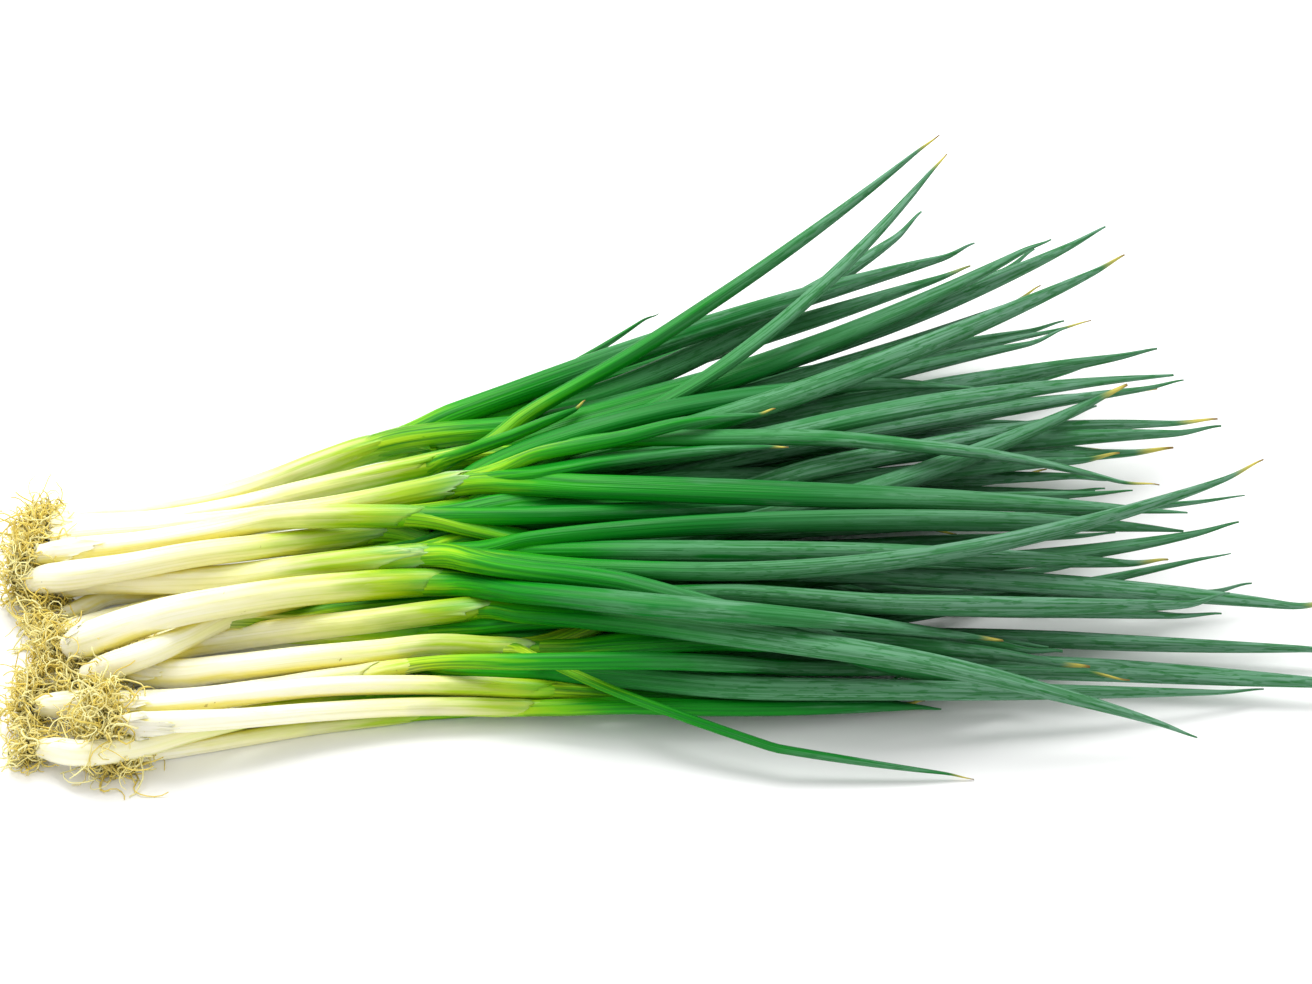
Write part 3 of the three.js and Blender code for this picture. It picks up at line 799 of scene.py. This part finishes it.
def add_skin(piece, run, skin, note_at, shift):
    """A thin wrap on a run, with a slanting torn rim; note_at gives its distance past the neck."""
    made = bmesh.ops.create_grid(piece, x_segments=SKIN_COLUMNS, y_segments=SKIN_ROWS, size=1)
    faces = list(dict.fromkeys(face for vert in made["verts"] for face in vert.link_faces))
    _, side, lift = facing_along(run)
    travelled = distances(run)
    grain = piece.verts.layers.float_vector["grain"]
    along = piece.verts.layers.float_vector["along"]
    for vert in made["verts"]:
        angle = skin.turned + vert.co.x * skin.wrap / 2
        share = (vert.co.y + 1) / 2
        rim = skin.ends + skin.lean * math.cos((angle - skin.turned) * math.pi / skin.wrap) ** 2
        rim += skin.tear * uneven(angle, WIDE_TEARS, shift, 0)
        rim += skin.tear * NARROW_SHARE * uneven(angle, NARROW_TEARS, shift, 3)
        at = skin.starts + (rim - skin.starts) * share
        row = [np.interp(at, travelled, column) for column in (*run.T, *side.T, *lift.T)]
        sunk = (1 - share) ** 3 + abs(vert.co.x) ** 8
        radius = row[3] * PLUMP + SKIN_LIFT - SKIN_SUNK * sunk
        radius += skin.flare * share ** 5 * (1 + uneven(angle, FLARE_WAVES, shift, 5))
        place = Vector(row[:3]) + Vector(row[4:7]) * radius * math.cos(angle)
        place += Vector(row[7:10]) * radius * math.sin(angle)
        vert[grain] = (radius * math.cos(angle) + shift, radius * math.sin(angle), at + shift)
        vert[along] = (note_at(at), skin.paper * share ** 6, 0)
        vert.co = (place.x, place.y, max(place.z, SKIN_THICK))
    bmesh.ops.recalc_face_normals(piece, faces=faces)
    bmesh.ops.solidify(piece, geom=faces, thickness=SKIN_THICK)
    # Solidify adds the rim's faces in an order that changes from run to run.
    piece.verts.index_update()
    piece.faces.sort(key=face_order)


print("a skin is described by:", Skin._fields)

# %% Choose the loose skins
MOUTH_BACK = 30 * MM
MOUTH_WRAP = math.radians(285)
MOUTH_LEAN = 11 * MM
MOUTH_TEAR = 2.2 * MM
MOUTH_FLARE = 0.08 * MM

# Lengths are in millimetres here, and angles in degrees.
NECK_SKINS = {
    "07": [Skin(-24, 9, 75, 120, 7, 3, 0.3, 0.25)],
    "11": [Skin(-34, 0, 105, 170, 30, 3, 1.6, 0.25)],
    "15": [Skin(-42, -8, 60, 130, 16, 4, 0.3, 0.3), Skin(-26, 4, 30, 100, 12, 5, 0.5, 0.3)],
    "16": [Skin(-34, -6, 40, 110, 14, 3, 0.2, 0.25)],
    "18": [Skin(-20, 5, 70, 150, 8, 7, 0.5, 0.3)],
    "19": [Skin(-36, 4, 120, 130, 16, 4, 0.8, 0.0)],
    "20": [Skin(-34, 16, 10, 130, 14, 3, 2.6, 0.0), Skin(-24, 25, -25, 120, 9, 3, 7.0, 0.0)],
}
FOOT_SKINS = {
    "04": [Skin(3, 12, 20, 150, 9, 8, 1.5, 0.9)],
    "05": [Skin(2, 9, 60, 100, 6, 6, 0.8, 0.9)],
    "07": [Skin(3, 10, 50, 120, 9, 5, 0.7, 0.8)],
    "10": [Skin(2, 7, 100, 120, 5, 5, 0.5, 0.8)],
    "17": [Skin(4, 14, 60, 120, 10, 6, 0.6, 0.7)],
}


def mouth_skin(neck_at, dice):
    """The mouth of the outermost sheath, near the neck."""
    mouth = neck_at + dice.uniform(-4, 5) * MM
    turned = dice.uniform(0.1, 0.9) * math.pi
    return Skin(
        mouth - MOUTH_BACK, mouth, turned, MOUTH_WRAP, MOUTH_LEAN, MOUTH_TEAR, MOUTH_FLARE,
        dice.uniform(0.0, 0.12),
    )


def measured_skin(skin, base):
    """A chosen skin in metres and radians, from this place along its shaft."""
    return Skin(
        base + skin.starts * MM, base + skin.ends * MM, math.radians(skin.turned),
        math.radians(skin.wrap), skin.lean * MM, skin.tear * MM, skin.flare * MM, skin.paper,
    )


print("plants with loose skins:", sorted({*NECK_SKINS, *FOOT_SKINS}))

# %% [markdown]
# No two shafts are quite alike. Each section is a little out of round, with low waves of its own,
# and the front plants stay pale for longer before they turn green.

# %% Model the shafts
# How many millimetres further on each plant turns green.
LATE_GREEN = {
    "01": 8, "02": 8, "04": 12, "05": 10, "06": 42, "07": 8, "08": 8, "12": -6,
    "19": 4, "20": 8,
}
GRAIN_SHIFT = 0.37
SKIN_SHIFT = 0.11


def paler(plant):
    """How much further on a plant turns green."""
    return LATE_GREEN.get(plant, 0) * MM


def shaft_section(run, phase):
    """The outline of a shaft at a ring: a circle with waves of two, three and seven lobes."""
    travelled = distances(run)

    def section(ring, angle):
        lobes = 0.018 * math.cos(2 * angle + phase[0] + travelled[ring] * 12)
        lobes += 0.012 * math.cos(3 * angle + phase[1] - travelled[ring] * 9)
        lobes += 0.006 * math.cos(7 * angle + phase[2])
        radius = run[ring][3] * (PLUMP + lobes)
        return radius * math.cos(angle), radius * math.sin(angle)

    return section


def model_shaft(plant, seed):
    """A shaft with its sheath's mouth and its loose skins."""
    dice = random.Random(seed)
    run, neck_at = shaft_run(plant)
    travelled = distances(run)
    section = shaft_section(run, [dice.uniform(0, math.tau) for _ in range(3)])
    own = dice.random()

    def note_at(place):
        return place - neck_at - paler(plant)

    def notes(ring):
        return note_at(travelled[ring]), 0.0, own

    piece = start_piece()
    shift = seed * GRAIN_SHIFT
    add_tube(piece, shaft_template, run, section, notes, shift)
    add_skin(piece, run, mouth_skin(neck_at, dice), note_at, shift)
    loose = [measured_skin(skin, neck_at) for skin in NECK_SKINS.get(plant, [])]
    loose += [measured_skin(skin, 0) for skin in FOOT_SKINS.get(plant, [])]
    for number, skin in enumerate(loose):
        add_skin(piece, run, skin, note_at, shift + number * SKIN_SHIFT)
    return finish_piece(
        f"spring_onion_{plant}_shaft", piece, shaft_skin, [f"onion_{plant}_stem"]
    )


shafts = [model_shaft(plant, seed) for seed, plant in enumerate(PLANTS, 1)]
print("shafts:", len(shafts))

# %% [markdown]
# ## Leaves
# A leaf is a flattened hollow tube that draws to a point. It leaves the bundle where its own
# sheath ends. The tube could be cut from the shaft's mesh, but it is simpler to start every leaf
# inside the bundle and let its run slide from the shared middle to its own.

# %% Part a leaf from the bundle
PARTING = 30 * MM
FIRST_PARTING = -6 * MM
LAST_PARTING = 20 * MM
EVENNESS = 0.45
SHORT_LEAF = 110 * MM
OUTER_ROLL, ROLL_STEP = 0.98, 0.03
ROOTED_ROLL = 0.55
DRAWN_OUT = (0.06, 0.36)
DRAWN_FROM = 0.42
DRAWN_OVER = 0.5


def parting_order(plant):
    """A plant's leaves, from the one that strays furthest from the bundle to the innermost."""
    middle = take(neck_axes[plant], [BUNDLE / 2])
    strays = [np.linalg.norm((take(run, [BUNDLE / 2]) - middle)[0]) for run in leaf_runs[plant]]
    return sorted(range(len(strays)), key=lambda index: -strays[index])


def part_leaf(plant, index, rank, late, dice):
    """A leaf's distances, shares and rings, and how far it has left the bundle at each."""
    length = distances(leaf_runs[plant][index])[-1]
    share = np.linspace(0, 1, LEAF_RINGS)
    share -= EVENNESS * np.sin(math.tau * share) / math.tau
    at = share * length
    own = take(leaf_runs[plant][index], at)
    shared = take(neck_axes[plant], at)
    leaves_at = ROOTED + FIRST_PARTING + (LAST_PARTING - FIRST_PARTING) * late
    apart = smooth_step((at - leaves_at) / (PARTING * min(1, length / SHORT_LEAF)))
    widening = np.clip(ROOTED_ROLL + (1 - ROOTED_ROLL) * at / ROOTED, 0, 1)
    rolled = shaft_runs[plant][-1][3] * (OUTER_ROLL - ROLL_STEP * rank) * widening
    slim = 1 - dice.uniform(*DRAWN_OUT) * smooth_step((share - DRAWN_FROM) / DRAWN_OVER)
    run = shared * (1 - apart[:, None]) + own * apart[:, None]
    run[:, 3] = rolled * (1 - apart) + own[:, 3] * apart * slim
    return at, share, run, apart


print("first plant's leaves part in this order:", parting_order(PLANTS[0]))

# %% [markdown]
# Living leaves are never quite straight. Most have a slight fold somewhere along the way, one is
# folded sharply, and every tip curls a little.

# %% Fold a leaf and curl its tip
TIP_CURL = 3.5 * MM
TIP_CURL_FROM = 0.93
FOLD_SPREAD = 0.14
FOLD_SIZE = 0.9
# The share of the way that the fold is at, its size in millimetres, and its spread.
FOLDED_LEAVES = {("07", 4): (0.66, -7.0, 0.34)}


def bend_leaf(plant, index, share, run, apart, dice):
    """Moves a leaf's rings for its fold and for the curl of its tip."""
    curl = TIP_CURL * smooth_step((share - TIP_CURL_FROM) / (1 - TIP_CURL_FROM)) ** 2
    run[:, 1] += curl * dice.uniform(-1, 1)
    run[:, 2] += curl * dice.uniform(-0.3, 1)
    any_fold = (dice.uniform(0.3, 0.75), dice.gauss(0, FOLD_SIZE), FOLD_SPREAD)
    fold_at, fold, spread = FOLDED_LEAVES.get((plant, index), any_fold)
    run[:, 1] += fold * MM * np.clip(1 - np.abs(share - fold_at) / spread, 0, 1) * apart


print("sharply folded leaves:", len(FOLDED_LEAVES))

# %% [markdown]
# Past the bundle the section is a flattened oval. Many leaves have a groove along one side, where
# the hollow tube has sunk in, and all of them twist a little on their way.

# %% Shape the section of a leaf
BROAD = 1.13
SLIM_LEAVES = {
    ("06", 0): 0.75, ("07", 4): 0.56, ("15", 0): 0.82, ("19", 4): 0.84, ("19", 5): 0.84,
}
GROOVE_WIDTH = 0.45
RIB_COUNT, RIB_HEIGHT = 9, 0.014


def leaf_section(plant, index, share, run, apart, dice):
    """The outline of a leaf at a ring: a circle in the bundle and a grooved oval outside it."""
    broad = BROAD * SLIM_LEAVES.get((plant, index), 1)
    flat = dice.uniform(0.70, 0.95)
    groove = dice.uniform(-0.05, 0.35)
    roll = dice.uniform(-0.5, 0.5)
    twist = dice.uniform(-1.4, 1.4)
    phase = dice.uniform(0, math.tau)

    def section(ring, angle):
        free = apart[ring]
        radius = run[ring][3] * (1 + (broad - 1) * free)
        lean = (roll + twist * share[ring]) * free
        wide = math.cos(angle - lean)
        high = math.sin(angle - lean)
        dent = groove * math.exp(-((wide / GROOVE_WIDTH) ** 2)) if high > 0 else 0.0
        high = (high - dent * free) * (1 - (1 - flat) * free)
        radius *= 1 + RIB_HEIGHT * math.cos(RIB_COUNT * angle + phase) * free
        across = (wide * math.cos(lean) - high * math.sin(lean)) * radius
        lift = (wide * math.sin(lean) + high * math.cos(lean)) * radius
        return across, lift

    return section


print("slim leaves:", len(SLIM_LEAVES))

# %% [markdown]
# One outer leaf leaves its shaft early and shows deep between the shafts in front. It is the only
# leaf that isn't read back from the measured solids, so its way is given here.

# %% Lay the low leaf
LOW_LEAF_PLANT = "09"
LOW_LEAF_LEAVES = -150 * MM
LOW_LEAF_NOTE = -34 * MM
LOW_LEAF_FLAT = 0.85
LOW_LEAF_OWN = 0.2
# Places and radii, in millimetres.
LOW_LEAF = [
    (-129, -53.6, 5.0, 3.8), (-116, -50.5, 5.0, 4.2), (-96, -47.8, 5.0, 4.4),
    (-83, -45.6, 5.0, 4.2), (-68, -44.0, 5.0, 3.6), (-48, -43.0, 4.0, 2.4), (-25, -42.0, 3.0, 0.4),
]


def add_low_leaf(piece, plant, shift):
    """An outer leaf that leaves its shaft early and runs on beneath the neighbours."""
    shaft = curve_through(shaft_runs[plant])
    start = min(shaft, key=lambda row: abs(row[0] - LOW_LEAF_LEAVES))
    run = curve_through(np.vstack([start, np.array(LOW_LEAF) * MM]))
    share = np.linspace(0, 1, LEAF_RINGS)
    run = take(run, distances(run)[-1] * share)
    at = distances(run)

    def section(ring, angle):
        return run[ring][3] * math.cos(angle), run[ring][3] * LOW_LEAF_FLAT * math.sin(angle)

    def notes(ring):
        return at[ring] + LOW_LEAF_NOTE, share[ring], LOW_LEAF_OWN

    add_tube(piece, leaf_template, run, section, notes, shift)


print("places along the low leaf:", len(LOW_LEAF))

# %% [markdown]
# Each plant's leaves become one piece. A few leaves are told to be waxy by their own number, and
# the other numbers are drawn at random.

# %% Model the leaves
WAXY_LEAVES = [("19", 4), ("19", 5), ("07", 0), ("10", 0)]
WAXY_NUMBER = 0.92
LEAF_SHIFT = 0.13


def model_leaves(plant, seed):
    """All the leaves of one plant, the one that parts first being the outermost."""
    dice = random.Random(seed * 7)
    order = parting_order(plant)
    piece = start_piece()
    for rank, index in enumerate(order):
        late = rank / max(len(order) - 1, 1)
        at, share, run, apart = part_leaf(plant, index, rank, late, dice)
        bend_leaf(plant, index, share, run, apart, dice)
        section = leaf_section(plant, index, share, run, apart, dice)
        own_number = WAXY_NUMBER if (plant, index) in WAXY_LEAVES else dice.random()
        pale = dice.uniform(-0.010, 0.020)

        def notes(ring):
            past = at[ring] - ROOTED - pale * apart[ring] - paler(plant)
            return past, share[ring], own_number

        shift = seed * GRAIN_SHIFT + rank * LEAF_SHIFT
        add_tube(piece, leaf_template, run, section, notes, shift)
    if plant == LOW_LEAF_PLANT:
        add_low_leaf(piece, plant, seed * GRAIN_SHIFT)
    return finish_piece(
        f"spring_onion_{plant}_leaves", piece, leaf_skin, [f"onion_{plant}_leaves"]
    )


leaf_pieces = [model_leaves(plant, seed) for seed, plant in enumerate(PLANTS, 1)]
print("leaf pieces:", len(leaf_pieces))

# %% [markdown]
# ## Roots
# Each plant ends in a basal plate with a tuft of short, curly, straw-coloured roots, tangled and
# still a little dirty. A particle system could grow them, but a few dozen faces bent along a
# wandering path for each root keeps them solid and the same every time.

# %% Let one root wander
CURL_RADIUS = 2.0 * MM
ROOT_THICK = (0.26, 0.56)
ROOT_THIN_TIP = 0.5
DRIFT = 2.2
SAG = 0.03
ROOT_CLEAR = 0.3 * MM
APART = 40


def drifting_way(place):
    """A direction that changes smoothly from place to place."""
    parts = [noise.noise(place + Vector((0, 0, APART * axis))) for axis in range(3)]
    return Vector(parts).normalized()


def wander_root(dice, start, out, length):
    """The run of one root: it leaves along out and curls round an axis that drifts."""
    place = start.copy()
    heading = out.normalized()
    seed = Vector((dice.uniform(0, 90), dice.uniform(0, 90), dice.uniform(0, 90)))
    thick = dice.uniform(*ROOT_THICK) * MM
    step = length / (ROOT_RINGS - 1)
    turn = step / CURL_RADIUS * dice.uniform(0.4, 1.6)
    rows = []
    for number in range(ROOT_RINGS):
        share = number / (ROOT_RINGS - 1)
        rows.append((*place, thick * (1 - ROOT_THIN_TIP * share)))
        axis = drifting_way(seed + Vector((share * DRIFT, 0, 0)))
        heading = (Matrix.Rotation(turn, 3, axis) @ heading - UP * SAG).normalized()
        place = place + heading * step
        place.z = max(place.z, ROOT_CLEAR)
    return np.array(rows)


print("a root curls with a radius of about", CURL_RADIUS, "m")

# %% [markdown]
# The basal plate is the short, hard stem that the roots grow from. An icosphere, pressed flat and
# roughened with noise, is enough, because the tuft hides most of it.

# %% Close the foot with a basal plate
PLATE_FLAT = 0.6
PLATE_OUT = 0.6 * MM
PLATE_ROUGH, PLATE_GRAIN = 0.25, 900


def add_basal_plate(piece, crown, out, radius, own):
    """A small knob, darkened with soil and painted shade, that closes the foot of the shaft."""
    turned = out.to_track_quat("Z", "Y").to_matrix().to_4x4()
    moved = Matrix.Translation(crown + out * PLATE_OUT)
    made = bmesh.ops.create_icosphere(
        piece, subdivisions=3, radius=radius,
        matrix=moved @ turned @ Matrix.Diagonal((1, 1, PLATE_FLAT, 1)),
    )
    grain = piece.verts.layers.float_vector["grain"]
    along = piece.verts.layers.float_vector["along"]
    for vert in made["verts"]:
        vert.co += (vert.co - crown) * PLATE_ROUGH * noise.noise(vert.co * PLATE_GRAIN)
        vert[grain] = vert.co
        vert[along] = (0, 1, own)


print("basal plate:", PLATE_FLAT, "as deep as it is wide")

# %% [markdown]
# The front tufts are bushier and hang towards the front. A few roots in each tuft stray far out.
# The soil and the painted shade stay near the plate, so every root is darkest at its start and
# clean further on.

# %% Model the root tufts
ROOTS_EACH = 150
ROOT_LENGTH = (10, 25)
BUSHY = {"01": 1.9, "02": 1.9, "04": 1.8, "05": 1.6}
BUSHY_TURN = Vector((-0.8, -0.35, 0.25))
STRAY_EACH = 4
STRAY_LENGTH = (26, 38)
PLATE_SHARE, ROOTED_SHARE = 0.75, 0.7
ROOT_OUT = 0.8 * MM
SPLAY = (0.1, 1.7)
SOIL_SHADE_START, SOIL_SHADE_FALL = 1.6, 3.0


def model_roots(plant, seed):
    """A basal plate with its tuft of roots."""
    dice = random.Random(seed * 13)
    shaft = shaft_runs[plant]
    crown = Vector(shaft[0][:3])
    out = Vector((shaft[0] - shaft[1])[:3]).normalized()
    piece = start_piece()
    add_basal_plate(piece, crown, out, shaft[0][3] * PLATE_SHARE, dice.random())
    bushy = BUSHY.get(plant, 1)
    for number in range(round(ROOTS_EACH * bushy)):
        stray = Vector([dice.gauss(0, 1) for _ in range(3)]).normalized()
        level = stray - out * stray.dot(out)
        start = crown + level * shaft[0][3] * ROOTED_SHARE * dice.random() + out * ROOT_OUT
        aim = out + level * dice.uniform(*SPLAY)
        aim += BUSHY_TURN * (bushy - 1)
        length = dice.uniform(*ROOT_LENGTH) * MM * bushy ** 0.5
        if number < STRAY_EACH:
            length = dice.uniform(*STRAY_LENGTH) * MM
        run = wander_root(dice, start, aim, length)
        # How much soil and painted shade this root gets near the plate.
        soil_and_shade_amount = dice.random() ** 2
        own = dice.random()

        def section(ring, angle):
            return run[ring][3] * math.cos(angle), run[ring][3] * math.sin(angle)

        def notes(ring):
            share = ring / (ROOT_RINGS - 1)
            return 0.0, max(0.0, SOIL_SHADE_START - SOIL_SHADE_FALL * share) * (0.5 + 0.5 * soil_and_shade_amount), own

        add_tube(piece, root_template, run, section, notes, dice.uniform(0, 9))
    return finish_piece(
        f"spring_onion_{plant}_roots", piece, root_skin, [f"onion_{plant}_roots"]
    )


tufts = [model_roots(plant, seed) for seed, plant in enumerate(PLANTS, 1)]
print("root tufts:", len(tufts))

# %% [markdown]
# ## Painted shade in the creases
# Where shafts lie close together, the crease is painted darker and golden: painted shade, and the
# light that would come through their flesh. Each point of a shaft feels about itself with a few
# short rays, and the share of them that meet another skin is stored on the mesh, for its material
# to paint that shade with.

# %% Feel how close the next skin is
FEELERS = 10
FEEL_REACH = 9 * MM
FEEL_START = 0.5 * MM
FEEL_SPREAD = 0.85

feel_dice = random.Random(4)
feelers = [Vector([feel_dice.gauss(0, 1) for _ in range(3)]).normalized() for _ in range(FEELERS)]
skins = bmesh.new()
for thing in shafts + leaf_pieces:
    skins.from_mesh(thing.data)
skin_tree = BVHTree.FromBMesh(skins)
skins.free()
for thing in shafts:
    mesh = thing.data
    shares = []
    for vert in mesh.vertices:
        start = vert.co + vert.normal * FEEL_START
        ways = [(vert.normal + feeler * FEEL_SPREAD).normalized() for feeler in feelers]
        met = sum(skin_tree.ray_cast(start, way, FEEL_REACH)[0] is not None for way in ways)
        shares.append(met / FEELERS)
    mesh.attributes.new("closeness", "FLOAT", "POINT").data.foreach_set("value", shares)
print("closeness stored on", len(shafts), "shafts")
